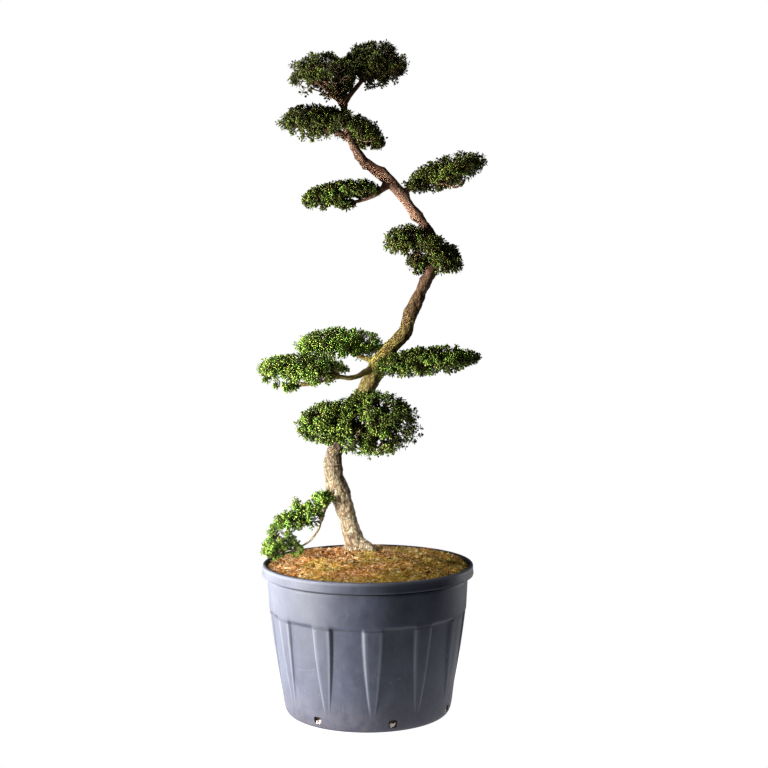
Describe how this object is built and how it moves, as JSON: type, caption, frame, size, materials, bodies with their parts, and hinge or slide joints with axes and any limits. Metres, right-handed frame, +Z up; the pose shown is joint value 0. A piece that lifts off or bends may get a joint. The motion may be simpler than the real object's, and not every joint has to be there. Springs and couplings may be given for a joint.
{
  "type": "cloud-pruned evergreen bonsai tree in a nursery tub",
  "caption": "Tall bonsai tree with a winding trunk and separate clouds of small dark leaves, growing in a round ribbed nursery tub.",
  "frame": {"origin": "on the floor under the middle of the tub's flat base", "axes": "+Z up along the tub's axis, -Y towards the front that the picture shows, +X to the right as seen from the front"},
  "size_m": [0.8648, 0.8, 2.5128],
  "materials": {
    "tub": "satin moulded plastic, slightly dusty",
    "soil": "loose bark and peat mulch with moss",
    "bark": "rough fissured bark",
    "leaf": "small glossy leaves"
  },
  "bodies": {
    "root": {"tub": "tub", "soil": "soil", "trunk": "bark", "foliage_crown_right": "leaf", "foliage_crown_left": "leaf", "foliage_upper": "leaf", "foliage_high_left": "leaf", "foliage_high_right": "leaf", "foliage_middle": "leaf", "foliage_mid_back": "leaf", "foliage_mid_left": "leaf", "foliage_mid_right": "leaf", "foliage_low": "leaf", "foliage_hanging": "leaf"}
  },
  "joints": []
}
